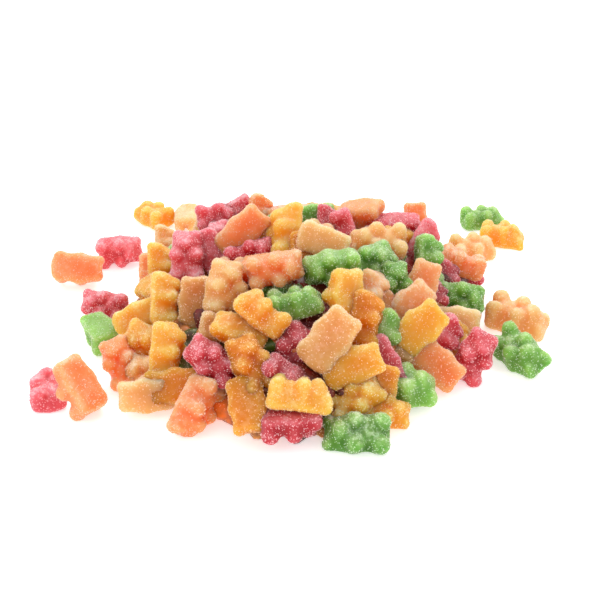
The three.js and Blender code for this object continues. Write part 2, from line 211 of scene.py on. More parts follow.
# %% [markdown]
# ## Normals and rims of the skin
#
# Two things are read off the grid once and shared by all bears. The normal, the direction
# straight out of the skin, is the cross product of the steps to the next ring and the next
# side. The rim says how sharply the skin turns outward there: sugar packs thickest on such
# edges, and the finish paints them paler, partly for that sugar and partly as a painted
# sheen for the light that a real gummy scatters back along its outline.

# %% Normals and rims
LEAST_SQUARE = 0.04


def next_to(grid, ends):
    """The grid moved by one ring each way, with the end points past the first and last."""
    low = np.concatenate([np.broadcast_to(ends[0], grid[:1].shape), grid[:-1]])
    high = np.concatenate([grid[1:], np.broadcast_to(ends[1], grid[:1].shape)])
    return low, high


def normals_of(grid, ends):
    """Unit cross product of the step along a ring and the step from ring to ring."""
    low, high = next_to(grid, ends)
    around = np.roll(grid, -1, 1) - np.roll(grid, 1, 1)
    out = np.cross(around, high - low)
    return out / np.maximum(np.linalg.norm(out, axis=-1, keepdims=True), TINY)


def rims_of(grid, ends, normals):
    """How far a place stands out of the mean of two opposite neighbours, along its normal,
    over their distance squared: half the skin's curvature in 1/mm, in its sharper way.
    Neighbours nearer than 0.2 mm count as that far, as the square of a tiny step explodes."""
    low, high = next_to(grid, ends)
    ways = [(low, high), (np.roll(grid, -1, 1), np.roll(grid, 1, 1))]
    bends = []
    for before, after in ways:
        steps = np.stack([before, after]) - grid
        squares = (steps**2).sum(-1)
        bends.append((-(steps * normals).sum(-1) / np.maximum(squares, LEAST_SQUARE)).mean(0))
    return np.maximum(*bends)


def bear_skin(cap, middle, sides):
    """A bear's grid and end points, and the normals and rims of the grid."""
    grid, ends = skin_of(cap, middle, sides)
    normals = normals_of(grid, ends)
    return grid, ends, normals, rims_of(grid, ends, normals)


fine_skin = bear_skin(cap=10, middle=23, sides=40)
plain_skin = bear_skin(cap=6, middle=15, sides=24)
fine_grid, _, fine_normals, fine_rims = fine_skin
print("rings and sides of a bear:", fine_grid.shape[:2], "and unseen:", plain_skin[0].shape[:2])
print("normals point out:", (fine_normals * fine_grid).sum(-1).mean() > 0,
      "rims in 1/mm:", fine_rims.min().round(2), fine_rims.max().round(2))

# %% [markdown]
# ## Where each bear lies
#
# Each row of the table is one bear: its colour; the middle of its body in mm; its clock, the
# way its head points, in degrees clockwise from straight up as seen from the front; its lean,
# how far the head tips to the front; its spin, how far the belly is turned away, with the
# flat back showing at 180; and its size. The three angles are what an eye in front reads
# off, which is easier than three angles of rotation. Most middles were worked out before,
# as the point where the sight line through a bear meets the mound or the table, and the
# others were set one by one. A stray's colour is in its name, and its row has no height, since
# it lies on the table.

# %% The heap's table
HEAP = [
    # along the front edge, on the table
    ("orange", -65, -57, 9, -23, 0, 0, 0.95),
    ("peach", -55, -61, 7, -70, 0, 0, 0.95),
    ("peach", -53, -73, 7, -97, 10, 170, 1.02),
    ("amber", -44, -71, 9, 80, 0, 180, 1),
    ("orange", -35, -83, 8, 205, 15, -60, 1.08),
    ("amber", -18, -86, 11, 170, 25, 180, 1),
    ("red", -4, -91, 8, 85, 0, 115, 1),
    ("amber", 6, -84, 5, 90, 0, 0, 1),
    ("red", -6, -80, 16, 120, 0, 30, 1),
    ("green", 17, -93, 6, -88, 0, 15, 1.06),
    ("yellow", 27, -81, 6, 98, 0, -30, 0.9),
    ("green", 34, -70, 9, 95, 0, -50, 1.14),
    ("orange", 46, -58, 9, 130, 0, 180, 1.02),
    ("red", 61, -54, 9, 28, 15, 10, 1),
    # second tier, left to right
    ("yellow", -56, -50, 12, -60, 0, -30, 1),
    ("yellow", -46, -63, 17, 4, 0, 75, 1.08),
    ("red", -31, -73, 20, -55, 0, 0, 0.96),
    ("amber", -17, -77, 22, -22, 0, 20, 1.02),
    ("yellow", -22, -64, 25, -72, 0, -130, 1),
    ("red", -4, -69, 21, 30, 0, 0, 1),
    ("yellow", -1, -88, 18, 98, 0, -90, 1.06),
    ("yellow", 17, -82, 11, 60, 0, -20, 1.02),
    ("yellow", 16, -75, 20, 72, 0, 180, 1.02),
    ("amber", 25, -75, 10, 20, 0, 180, 0.95),
    ("red", 27, -65, 14, 150, 0, 180, 0.95),
    ("peach", 34, -58, 12, 30, 0, 90, 0.9),
    ("red", 51, -46, 11, 30, 0, 90, 0.95),
    ("yellow", 56, -43, 9, 0, 0, 90, 0.9),
    ("peach", 56, -35, 13, 90, 0, 180, 0.9),
    # left shoulder
    ("yellow", -61, -34, 14, 62, 0, 180, 0.95),
    ("yellow", -50, -36, 23, 0, 0, 90, 1.05),
    ("yellow", -56, -5, 19, 0, 0, 90, 1.05),
    ("orange", -62, 6, 10, 0, 0, 90, 0.95),
    ("peach", -59, 28, 13, 0, 0, 90, 0.9),
    ("amber", -54, 28, 6, 90, 0, 0, 1),
    ("peach", -39, -39, 23, 0, 0, 180, 0.95),
    ("peach", -32, -58, 20, 10, 0, 90, 0.9),
    ("red", -44, -20, 32, 0, 0, 0, 1.06),
    ("red", -35, -13, 30, 150, 0, 180, 0.95),
    # middle
    ("peach", -27, -46, 33, 8, 0, 30, 1.04),
    ("yellow", -14, -61, 32, -52, 0, 90, 1.04),
    ("red", 4, -52, 25, 60, 0, 0, 1),
    ("green", -3, -54, 32, 80, 0, -70, 0.98),
    ("green", -9, -44, 28, 90, 0, 0, 0.9),
    ("orange", -10, -42, 38, 78, 0, 10, 1),
    ("peach", 9, -71, 27, 38, 0, 165, 1.1),
    ("yellow", 13, -53, 33, 0, 0, -140, 1.06),
    ("amber", 22, -58, 27, 3, 0, 70, 1.04),
    ("green", 29, -56, 19, 20, 0, 90, 0.95),
    ("orange", 29, -45, 22, 10, 0, 90, 0.9),
    ("orange", 25, -43, 28, 12, 0, 60, 0.95),
    ("green", 10, -39, 37, -98, 0, -20, 1.02),
    ("green", 24, -29, 34, 60, 0, 0, 1),
    ("green", 33, -36, 28, 0, 0, 20, 1),
    # right shoulder
    ("yellow", 40, -53, 21, 50, 0, 180, 1.04),
    ("orange", 37, -43, 24, 50, 0, 180, 0.98),
    ("orange", 43, -30, 25, 20, 0, 180, 0.98),
    ("red", 50, -28, 17, 0, 0, 90, 0.85),
    ("green", 59, -25, 17, 92, 0, 0, 0.95),
    ("green", 48, -15, 28, 0, 0, 90, 1),
    ("red", 56, -12, 17, 0, 0, 90, 0.9),
    ("orange", 61, -4, 22, -68, 0, 75, 1.04),
    ("red", 69, 3, 9, 0, 0, 90, 0.9),
    # crest and what shows behind it
    ("red", -20, -19, 32, 70, 0, 0, 0.95),
    ("orange", -24, -9, 37, 42, 0, 190, 1.08),
    ("amber", -16, -8, 33, 90, 0, 180, 1),
    ("yellow", -8, -14, 39, 4, -15, -70, 1.14),
    ("amber", 0, -23, 33, 0, 0, 90, 1),
    ("peach", 7, -24, 40, 110, 0, 180, 1),
    ("green", 29, -15, 31, 80, 0, 180, 0.95),
    ("peach", 28, -15, 36, -88, 0, 30, 1.06),
    ("amber", 34, -14, 29, 0, 0, 90, 0.9),
    ("red", 47, 0, 28, 35, 0, 90, 0.95),
    ("red", 37, 8, 31, 88, 0, 125, 0.92),
    ("orange", 47, 31, 22, 0, 0, 180, 0.9),
    ("red", 10, 7, 32, 0, 0, 90, 0.9),
    ("red", 16, 0, 32, 160, 0, 90, 0.95),
    ("orange", 23, 14, 34, 90, 35, 125, 0.98),
    ("green", 3, 13, 32, 80, 0, 180, 0.95),
    ("orange", -18, 23, 29, 0, 0, 90, 0.95),
    ("red", -36, 25, 28, 80, 0, 0, 0.9),
    ("red", -29, 29, 28, 60, 0, 90, 0.85),
    ("peach", -41, 29, 19, 0, 0, 180, 0.9),
]
print("bears that show in the heap:", len(HEAP))

# %% The strays' table
STRAYS = {
    "green_back_right": (85, 75, 84, -10, -58, 0.98),
    "yellow_back_right": (91, 56, 98, 13, -59, 1.04),
    "peach_back_right": (75, 40, 84, -10, -40, 1.02),
    "peach_right": (83, -20, 108, 24, -45, 1.2),
    "green_right": (78, -46, 131, 48, -10, 1.14),
    "yellow_back_left": (-72, 78, -63, -38, 51, 1),
    "peach_back_left": (-56, 74, 0, -60, 180, 0.9),
    "red_left": (-81, 34, 85, 0, 30, 1.02),
    "orange_left": (-95, 17, 95, 0, 170, 1.1),
    "red_by_heap": (-79, -14, -80, 0, 0, 0.95),
    "green_by_heap": (-77, -31, -49, -49, -139, 0.95),
    "red_front_left": (-89, -66, -28, -57, 26, 0.95),
    "orange_front_left": (-77, -73, -32, 0, -130, 1.04),
}
print("strays:", len(STRAYS))

# %% [markdown]
# ## The mound
#
# Poured sweets come to rest as a mound with a steep skirt and a round top. Its height over a
# place is a power of how far the place is inside an oval, and the oval's front right corner
# is drawn in. The far side and the inside, which nobody sees from the front, are filled by
# walking along ovals of this mound and setting a bear every so often.

# %% The mound
MOUND_X, MOUND_Y = 2, -15
HALF_WIDTH, FRONT_DEPTH, BACK_DEPTH = 70, 80, 74
DRAWN_IN = 0.9
EDGE_HEIGHT, RISE, FULLNESS = 5, 33, 0.65


def out_squared(x, y):
    """(x / half width)^2 + (y / depth in front or behind)^2, and more in the front right
    corner by the product of the two."""
    across = (x - MOUND_X) / HALF_WIDTH
    along = (y - MOUND_Y) / np.where(y < MOUND_Y, FRONT_DEPTH, BACK_DEPTH)
    corner = np.maximum(across, 0) * np.maximum(-along, 0)
    return across**2 + along**2 + DRAWN_IN * corner


def mound_height(x, y):
    """Height of a bear's middle: edge + rise (1 - out^2)^fullness."""
    return EDGE_HEIGHT + RISE * np.maximum(1 - out_squared(x, y), 0) ** FULLNESS


def on_mound(bearing, out):
    """The place a share of the way out to the edge. The bearing is a circle's, and the circle
    is stretched to the oval."""
    x = HALF_WIDTH * np.cos(bearing)
    y = FRONT_DEPTH * np.sin(bearing)
    share = out / np.sqrt(out_squared(MOUND_X + x, MOUND_Y + y))
    return MOUND_X + x * share, MOUND_Y + y * share


# %% [markdown]
# ## Turning a bear
#
# A turn is a matrix whose columns say where the bear's own x, y and z point. For a row of the
# table it is the product of the spin, the lean and the clock, seen along the line of sight.
# For a bear that follows the mound it is built from the slope under it. Both are made for
# all bears at once, as a stack of matrices.

# %% Turns from the table
def stack(rows):
    """A stack of matrices from nested lists of arrays, one number for each bear."""
    return np.moveaxis(np.array(rows, float), -1, 0)


def spun(degrees):
    """Turns about a bear's own y: (cos, 0, sin), (0, 1, 0), (-sin, 0, cos)."""
    s = np.radians(degrees)
    nought, one = 0 * s, 0 * s + 1
    return stack([[np.cos(s), nought, np.sin(s)], [nought, one, nought],
                  [-np.sin(s), nought, np.cos(s)]])


def turns_seen(clock, lean, spin):
    """View matrix (right, up, towards the eye) times clock, lean and spin matrices."""
    c, l = np.radians(clock), np.radians(lean)
    nought, one = 0 * c, 0 * c + 1
    clocked = stack([[np.cos(c), np.sin(c), nought], [-np.sin(c), np.cos(c), nought],
                     [nought, nought, one]])
    leaned = stack([[one, nought, nought], [nought, np.cos(l), -np.sin(l)],
                    [nought, np.sin(l), np.cos(l)]])
    up = (0, sin(LOOK_DOWN), cos(LOOK_DOWN))
    to_eye = (0, -cos(LOOK_DOWN), sin(LOOK_DOWN))
    seen = np.stack([(1, 0, 0), up, to_eye], 1)
    return seen @ clocked @ leaned @ spun(spin)


# %% Turns on the slope
STEEPEST = 1.1


def turns_on_slope(x, y, heading, roll):
    """z is the mound's normal, no steeper than the steepest, y the heading laid onto the
    slope and x their cross product; the roll turns the bear about its own y."""
    dx = (mound_height(x + 1, y) - mound_height(x - 1, y)) / 2
    dy = (mound_height(x, y + 1) - mound_height(x, y - 1)) / 2
    ease = STEEPEST / np.maximum(np.hypot(dx, dy), STEEPEST)
    out = np.stack([-dx * ease, -dy * ease, 0 * x + 1], -1)
    out /= np.linalg.norm(out, axis=-1, keepdims=True)
    head = np.stack([np.cos(np.radians(heading)), np.sin(np.radians(heading)), 0 * x], -1)
    head -= out * (head * out).sum(-1, keepdims=True)
    head /= np.linalg.norm(head, axis=-1, keepdims=True)
    return np.stack([np.cross(head, out), head, out], -1) @ spun(roll)


# %% [markdown]
# ## No two bears alike
#
# Warm jelly slumps and is squeezed by its neighbours. So each bear gets its own stretch, a
# curl along its length, a sideways lean and a twist, and then a swelling and a fine relief
# along its normals. The swelling is a sum of sine waves in random directions, which is the
# simplest noise there is: smooth, seeded and the same every time.

# %% Waves
WAVES = 14
WAVE_LENGTHS = (0.7, 1.4)
TWO_DEVIATIONS = 1.4


def waves(points, length, seed):
    """Sum of sines of 2 pi (way . point) / length + phase, over seeded random ways, divided
    so that two standard deviations of it reach from -1 to 1."""
    draw = np.random.default_rng(seed)
    ways = draw.normal(size=(3, WAVES))
    lengths = length * np.linalg.norm(ways, axis=0) * draw.uniform(*WAVE_LENGTHS, WAVES)
    ways *= 2 * pi / lengths
    phases = draw.uniform(0, 2 * pi, WAVES)
    return np.sin(points @ ways + phases).sum(-1) / WAVES**0.5 / TWO_DEVIATIONS


# %% Pulling bears out of true
HALF_LENGTH = 10
STRETCH = (0.94, 0.95, 0.92), (1.06, 1.04, 1.06)
CURL, LEAN, TWIST = 0.35, 0.4, 0.05
SWELLS = [(0.22, 8.0), (0.05, 2.4), (0.02, 1.2)]
FAR_APART = 500


def shaped(points, normals, turns, sizes, places, seed):
    """Stretch, curl, lean and twist each bear, swell it along its normals, turn it, bring it
    to its size and move it. Curl and lean grow with the square of the way along the bear, and
    twist with the way itself. Arrays are (bears, points, 3); places are in mm."""
    draw = np.random.default_rng(seed)
    count = len(sizes)
    p = points * draw.uniform(*STRETCH, (count, 1, 3))
    along = p[..., 1] / HALF_LENGTH
    curl, lean, twist = draw.normal(0, (CURL, LEAN, TWIST), (count, 3)).T[..., None]
    x, z = p[..., 0] + lean * along**2, p[..., 2] + curl * along**2
    angle = twist * along
    p = np.stack([x * np.cos(angle) - z * np.sin(angle), p[..., 1],
                  x * np.sin(angle) + z * np.cos(angle)], -1)
    apart = draw.uniform(-FAR_APART, FAR_APART, (count, 1, 3))
    swell = sum(height * waves(points + apart, length, seed + number)
                for number, (height, length) in enumerate(SWELLS, 1))
    p = p + normals * swell[..., None]
    p = np.einsum("bij,bpj->bpi", turns * sizes[:, None, None], p)
    return p + places[:, None]


# %% [markdown]
# ## Faces, meshes and pieces
#
# Many bears make one object. Their faces are the same grid of quads, each bear's moved on by
# the number of points in a bear. The finish needs to know four things that a
# mesh doesn't hold by itself, so they go in as attributes of its points: the rim, a tone and
# a share of sugar dust that differ from bear to bear, and a painted shade that darkens the
# bears that lie deep under the mound's surface.

# %% Faces and meshes
MM = 0.001


def faces_of(rings, sides):
    """Quads between a ring and the next, wound to face out, then a fan of triangles at each
    end; the end points come after the grid."""
    ring, side = np.meshgrid(np.arange(rings - 1), np.arange(sides), indexing="ij")
    a = ring * sides + side
    b = ring * sides + (side + 1) % sides
    quads = np.stack([a, b, b + sides, a + sides], -1).reshape(-1, 4)
    here, after = np.arange(sides), (np.arange(sides) + 1) % sides
    feet, last = rings * sides, (rings - 1) * sides
    low = np.stack([np.full(sides, feet), after, here], -1)
    high = np.stack([np.full(sides, feet + 1), last + here, last + after], -1)
    return quads, np.concatenate([low, high])


def link(name, points, faces, material, smooth=True):
    """A mesh object at the origin, from points in mm and lists of faces."""
    mesh = bpy.data.meshes.new(name)
    mesh.from_pydata(points * MM, [], faces)
    mesh.polygons.foreach_set("use_smooth", np.full(len(mesh.polygons), smooth))
    mesh.materials.append(material)
    piece = bpy.data.objects.new(name, mesh)
    bpy.context.scene.collection.objects.link(piece)
    return piece


def give(piece, name, values):
    """Adds an attribute with one number for each point."""
    column = piece.data.attributes.new(name, "FLOAT", "POINT")
    column.data.foreach_set("value", np.ascontiguousarray(values, np.float32))


# %% [markdown]
# ## The jelly
#
# Fruit jelly is clear but cloudy: light goes in, wanders about and comes out somewhere else,
# coloured by the way it took. That is subsurface scattering, not glass: the random walk makes
# thin ears and edges glow and thick bodies deepen. Over it lies the sugar: a pale frost where
# the skin turns and where it faces up, fine white specks, and a grainy bump. The frost is
# sugar, but keeping it to what faces up is partly painted light from above, and its thickness
# on the edges partly a painted sheen along the outline. Short helpers make the nodes that
# come back again, so that each finish stays easy to follow.

# %% Node helpers
def set_inputs(target, values):
    """Sets the inputs of a node by name."""
    for socket, value in values.items():
        target.inputs[socket].default_value = value


def node(tree, kind, inputs=None, **settings):
    """A node with its settings and its inputs."""
    made = tree.nodes.new(kind)
    for setting, value in settings.items():
        setattr(made, setting, value)
    set_inputs(made, inputs or {})
    return made


def arithmetic(tree, operation, first, second, clamp=False):
    """A Math node; each of the two is a socket or a number."""
    made = node(tree, "ShaderNodeMath", operation=operation, use_clamp=clamp)
    for place, value in enumerate((first, second)):
        if isinstance(value, (int, float)):
            made.inputs[place].default_value = value
        else:
            tree.links.new(value, made.inputs[place])
    return made.outputs[0]


def times(tree, first, second, clamp=False):
    """The product of two sockets, or of a socket and a number."""
    return arithmetic(tree, "MULTIPLY", first, second, clamp)


def weighed(tree, start, parts):
    """The start plus each part's socket times its weight."""
    total = start
    for socket, weight in parts:
        total = arithmetic(tree, "ADD", total, times(tree, socket, weight))
    return total


def blend(tree, share, first, second):
    """Mixes two colours by a share; each of the two is a socket or a colour."""
    made = node(tree, "ShaderNodeMix", data_type="RGBA")
    tree.links.new(share, made.inputs[0])
    for place, value in ((6, first), (7, second)):
        if isinstance(value, tuple):
            made.inputs[place].default_value = (*value, 1)
        else:
            tree.links.new(value, made.inputs[place])
    return made.outputs[2]


def step_between(tree, value, low, high):
    """0 below low, 1 above high, smooth between."""
    made = node(tree, "ShaderNodeMapRange", interpolation_type="SMOOTHSTEP",
                inputs={"From Min": low, "From Max": high})
    tree.links.new(value, made.inputs[0])
    return made.outputs[0]


# %% What a finish reads
CLOUD_SCALE, GRIT_SCALE, SPECK_SCALE = 160, 620, 1000  # spots in a metre
SPECK_EDGE = (0.10, 0.30)


def new_finish(name):
    """A material, its node tree and its main shader."""
    material = bpy.data.materials.new(name)
    material.use_nodes = True
    return material, material.node_tree, material.node_tree.nodes["Principled BSDF"]


def attribute(tree, name):
    """The number that a point attribute gives."""
    return node(tree, "ShaderNodeAttribute", attribute_name=name).outputs["Fac"]


def pattern(tree, kind, **inputs):
    """A texture node that reads the mesh's own coordinates, in metres."""
    made = node(tree, kind, inputs)
    place = node(tree, "ShaderNodeTexCoord").outputs["Object"]
    tree.links.new(place, made.inputs["Vector"])
    return made


def specks(tree):
    """Dots round the middles of a Voronoi pattern's cells, and a colour drawn for each."""
    cells = pattern(tree, "ShaderNodeTexVoronoi", Scale=SPECK_SCALE, Randomness=1)
    outside = step_between(tree, cells.outputs[0], *SPECK_EDGE)
    return arithmetic(tree, "SUBTRACT", 1.0, outside), cells.outputs["Color"]


def roughen(tree, shader, height, strength, depth):
    """A bump from a pattern's height; depth in metres."""
    bump = node(tree, "ShaderNodeBump", {"Strength": strength, "Distance": depth})
    tree.links.new(height, bump.inputs["Height"])
    tree.links.new(bump.outputs[0], shader.inputs["Normal"])


def whitened(colour):
    """Three tenths of the way to white."""
    return tuple(0.3 + 0.7 * channel for channel in colour)


# %% Tone and frost
# the dust cover goes only where the skin faces up, partly painted light from above; frost on
# lumps and edges is partly sugar and partly a painted sheen
DUST_COVER, LUMP_COVER, EDGE_COVER = 0.38, 0.10, 0.65
LUMP_RIM, EDGE_RIM = (0.07, 0.24), (0.28, 0.48)
CLOUD_EDGE, GRIT_EDGE = (0.35, 0.65), (0.44, 0.62)
CLOUDLESS, THINNEST, GRITTY = 0.5, 0.3, 0.85


def paleness(tree, cloud, up, rim):
    """The bear's own tone + 0.6 cloud + 0.3 where it faces up + 1.2 rim - 0.5: 0 is deep and
    1 pale. The 0.3 where it faces up is painted light from above; the 1.2 on rims is partly
    sugar on the edges and partly a painted sheen along the outline."""
    tone = weighed(tree, attribute(tree, "tone"), ((cloud, 0.6), (up, 0.3), (rim, 1.2)))
    return arithmetic(tree, "SUBTRACT", tone, 0.5, clamp=True)


def frosted(tree, cloud, grit, up, rim):
    """How much of the jelly the frost hides: the bear's dust where it faces up, by the clouds
    more or less, then a little on every lump and much on every edge. Grit breaks it up, and
    in the painted shade there is less. The frost is sugar, but kept to what faces up it is
    partly painted light from above, and on the edges partly a painted sheen along the outline."""
    above = step_between(tree, up, 0.0, 1.0)
    dust = times(tree, attribute(tree, "dust"), DUST_COVER)
    cover = times(tree, above, dust)
    clouds = arithmetic(tree, "ADD", step_between(tree, cloud, *CLOUD_EDGE), CLOUDLESS)
    cover = times(tree, cover, clouds)
    cover = weighed(tree, cover, ((step_between(tree, rim, *LUMP_RIM), LUMP_COVER),
                                  (step_between(tree, rim, *EDGE_RIM), EDGE_COVER)))
    thick = times(tree, step_between(tree, grit, *GRIT_EDGE), GRITTY)
    thick = arithmetic(tree, "ADD", thick, THINNEST)
    cover = times(tree, cover, thick, clamp=True)
    lit = arithmetic(tree, "SUBTRACT", 1.0, attribute(tree, "shade"))
    return times(tree, cover, lit)


# %% Light lost in the jelly
KEPT_OVER = 10 * MM


def absorb(tree, kept):
    """Each colour's loss is -ln(kept) / 10 mm. The density is the largest loss, and the
    volume's colour is 1 - loss / largest loss."""
    lost = -np.log(np.array(kept)) / KEPT_OVER
    volume = node(tree, "ShaderNodeVolumeAbsorption",
                  {"Density": lost.max(), "Color": (*(1 - lost / lost.max()), 1)})
    tree.links.new(volume.outputs[0], tree.nodes["Material Output"].inputs["Volume"])


# %% The jelly's material
CLEARNESS = 0.12
PAINTED_SHADE_SHARE = 0.3
LUCKY_SPECK = (0.3, 0.6)
FROST_HIDES, SPECK_HIDES = 0.9, 0.6
GRIT_HEIGHT = 0.7


def jelly(name, deep, pale, frost, sparkle, walk, kept):
    """Deep and pale are the jelly's two tones, frost the sugared tone over them, sparkle how
    white the specks are, walk how far light wanders in each colour, in mm, and kept the share
    of each colour that comes through ten millimetres of jelly."""
    material, tree, shader = new_finish(name)
    rim = attribute(tree, "rim")
    cloud = pattern(tree, "ShaderNodeTexNoise", Scale=CLOUD_SCALE, Detail=2).outputs[0]
    grit = pattern(tree, "ShaderNodeTexNoise", Scale=GRIT_SCALE, Detail=4,
                   Roughness=0.7).outputs[0]
    facing = node(tree, "ShaderNodeSeparateXYZ")
    tree.links.new(node(tree, "ShaderNodeNewGeometry").outputs["Normal"], facing.inputs[0])
    up = facing.outputs[2]

    # paler where it faces up, as painted light from above, and on rims, partly sugar and partly a
    # painted sheen
    body = blend(tree, paleness(tree, cloud, up, rim), deep, pale)
    # painted shade: a bear deep in the heap is painted towards three tenths of its deep tone
    painted_shade_tone = tuple(PAINTED_SHADE_SHARE * channel for channel in deep)
    body = blend(tree, attribute(tree, "shade"), body, painted_shade_tone)
    # frost: sugar, kept to what faces up as painted light from above, and thick on edges as a
    # painted sheen
    frost_cover = frosted(tree, cloud, grit, up, rim)
    body = blend(tree, frost_cover, body, frost)
    speck, drawn = specks(tree)
    lucky = node(tree, "ShaderNodeSeparateColor")
    tree.links.new(drawn, lucky.inputs[0])
    lucky = step_between(tree, lucky.outputs[0], *LUCKY_SPECK)
    speck = times(tree, speck, lucky)
    speck_cover = times(tree, speck, sparkle)
    body = blend(tree, speck_cover, body, whitened(frost))
    tree.links.new(body, shader.inputs["Base Color"])

    hidden = times(tree, frost_cover, FROST_HIDES)
    hidden = weighed(tree, hidden, [(speck, SPECK_HIDES)])
    clear = arithmetic(tree, "SUBTRACT", 1.0, hidden, clamp=True)
    clear = times(tree, clear, CLEARNESS)
    tree.links.new(clear, shader.inputs["Transmission Weight"])
    absorb(tree, kept)
    height = arithmetic(tree, "ADD", times(tree, grit, GRIT_HEIGHT), speck)
    roughen(tree, shader, height, strength=0.3, depth=0.0002)

    shader.subsurface_method = "RANDOM_WALK"
    set_inputs(shader, {
        "Subsurface Weight": 1,
        "Subsurface Radius": walk,
        "Subsurface Scale": MM,
        "Subsurface Anisotropy": 0.7,
        "Roughness": 0.45,
        "IOR": 1.42,
        "Specular IOR Level": 0.3,
        "Sheen Weight": 0.3,
        "Sheen Roughness": 0.2,
        "Sheen Tint": (*frost, 1),
    })
    return material


# %% [markdown]
# ## Six fruits
#
# The colours are linear light, not what a colour picker on a screen shows: linear values fall
# off faster, so a mid orange has only a fifth of green in it. The grains on a bear are clear,
# so most of what they show is the jelly under them, in a paler tint.

# %% Jelly colours
# deep and pale, then frost, sparkle, walk and kept
JELLY = {
    "red": jelly("red_jelly", (0.48, 0.012, 0.024), (0.82, 0.17, 0.20),
                 (0.97, 0.76, 0.78), 0.65, (12.0, 5.5, 6.0), (0.62, 0.03, 0.06)),
    "orange": jelly("orange_jelly", (0.94, 0.19, 0.034), (1.0, 0.40, 0.17),
                    (1.0, 0.80, 0.68), 0.35, (14.0, 9.5, 7.5), (0.95, 0.30, 0.06)),
    "yellow": jelly("yellow_jelly", (0.84, 0.26, 0.006), (0.94, 0.45, 0.06),
                    (1.0, 0.84, 0.54), 0.3, (14.0, 11.0, 7.0), (0.95, 0.66, 0.10)),
    "amber": jelly("amber_jelly", (0.60, 0.16, 0.004), (0.78, 0.29, 0.018),
                   (0.98, 0.72, 0.40), 0.3, (14.0, 11.0, 6.0), (0.88, 0.48, 0.06)),
    "peach": jelly("peach_jelly", (0.72, 0.28, 0.06), (0.90, 0.54, 0.24),
                   (1.0, 0.84, 0.68), 0.3, (14.0, 11.0, 9.0), (0.92, 0.62, 0.30)),
    "green": jelly("green_jelly", (0.08, 0.23, 0.015), (0.31, 0.54, 0.12),
                   (0.80, 0.90, 0.68), 0.5, (8.0, 12.0, 6.0), (0.14, 0.50, 0.06)),
}
SUGAR_TINT = {
    "red": (0.94, 0.50, 0.54),
    "orange": (1.0, 0.60, 0.40),
    "yellow": (1.0, 0.70, 0.32),
    "amber": (0.97, 0.62, 0.28),
    "peach": (1.0, 0.70, 0.46),
    "green": (0.60, 0.76, 0.46),
}
print("jelly colours:", ", ".join(JELLY))

# %% [markdown]
# ## The sugar grains
#
# Seen close, the coat is hundreds of clear crystals a third of a millimetre across. Bump alone
# can't break an outline, so each bear also carries real grains. A crystal is a tetrahedron
# stretched along three random directions: four faces are enough for something that small.

# %% Grains on a skin
GRAINS_ON_BEAR = 800
EDGE_GRAINS, SHARPEST_RIM = 6.0, 0.5
GRAIN_HALF, GRAIN_LIFT = (0.07, 0.22), 0.06
GRAIN_CORNERS = np.array([(1, 1, 1), (1, -1, -1), (-1, 1, -1), (-1, -1, 1)])
GRAIN_FACES = np.array([(0, 1, 2), (0, 3, 1), (0, 2, 3), (1, 3, 2)])


def grain_places(grids, draw):
    """Cells of each bear's grid are picked by their area, and the more so the sharper the
    rim. Two random shares give a place inside each, a little above the skin."""
    bears, _, sides, _ = grids.shape
    across = np.roll(grids, -1, 2) - grids
    along = np.diff(grids, axis=1)
    square = np.cross(across[:, :-1], along)
    area = np.linalg.norm(square, axis=-1)
    chance = (area.mean(0) * (1 + EDGE_GRAINS * np.clip(fine_rims[:-1], 0, SHARPEST_RIM))).ravel()
    cells = draw.choice(chance.size, (bears, GRAINS_ON_BEAR), p=chance / chance.sum())
    cell = np.arange(bears)[:, None], cells // sides, cells % sides
    share_a, share_b = draw.uniform(0, 1, (2, bears, GRAINS_ON_BEAR, 1))
    here = grids[cell] + across[cell] * share_a + along[cell] * share_b
    out = square[cell] / np.maximum(area[cell], TINY)[..., None]
    return (here + out * GRAIN_LIFT).reshape(-1, 3)


def crystals(places, draw):
    """Four of a box's corners round each place, the box turned and stretched by chance; a
    crystal that would reach into the table is left out."""
    ways, _ = np.linalg.qr(draw.normal(size=(len(places), 3, 3)))
    ways[:, :, 2] *= np.sign(np.linalg.det(ways))[:, None]
    axes = np.swapaxes(ways, 1, 2) * draw.uniform(*GRAIN_HALF, (len(places), 3, 1))
    points = places[:, None] + np.einsum("ck,gkx->gcx", GRAIN_CORNERS, axes)
    points = points[points[..., 2].min(1) > 0]
    faces = GRAIN_FACES + len(GRAIN_CORNERS) * np.arange(len(points))[:, None, None]
    return points.reshape(-1, 3), faces.reshape(-1, 3)


# %% The sugar of one colour
GLINT_SCALE = 700


def grain_material(name, tint):
    """Clear sugar with the jelly's colour shining through it, whiter in places."""
    material, tree, shader = new_finish(name)
    cloud = pattern(tree, "ShaderNodeTexNoise", Scale=GLINT_SCALE, Detail=1).outputs[0]
    share = step_between(tree, cloud, *CLOUD_EDGE)
    tree.links.new(blend(tree, share, tint, whitened(tint)), shader.inputs["Base Color"])
    set_inputs(shader, {"Roughness": 0.35, "IOR": 1.54})
    return material


SUGAR = {colour: grain_material(colour + "_sugar", SUGAR_TINT[colour]) for colour in JELLY}


def grains_piece(name, colour, grids, seed):
    """The grains on some bears of one colour as one object, on the frame's one body. Returns
    how many there are."""
    draw = np.random.default_rng(seed)
    points, faces = crystals(grain_places(np.concatenate(grids), draw), draw)
    grains = link(name, points, faces.tolist(), SUGAR[colour], smooth=False)
    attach(grains, "root")
    return len(faces) // len(GRAIN_FACES)


print("a grain is", 2 * GRAIN_HALF[0], "to", 2 * GRAIN_HALF[1], "mm across")

# %% [markdown]
# ## Setting bears
#
# One function takes the turns, sizes and places of a set of bears and returns what a mesh
# needs. What would sink into the table is pressed flat on it, as soft jelly is.

# %% A set of bears
HEAP_TONES = (0.2, 0.8)
STRAY_TONES = (0.35, 0.75)
DUST = (0.25, 1)
SHADE_FROM, SHADE_DEPTH, DARKEST = 3.0, 9, 0.65
TONE_SEED = 9  # added to a set's seed, past those that shape the bears


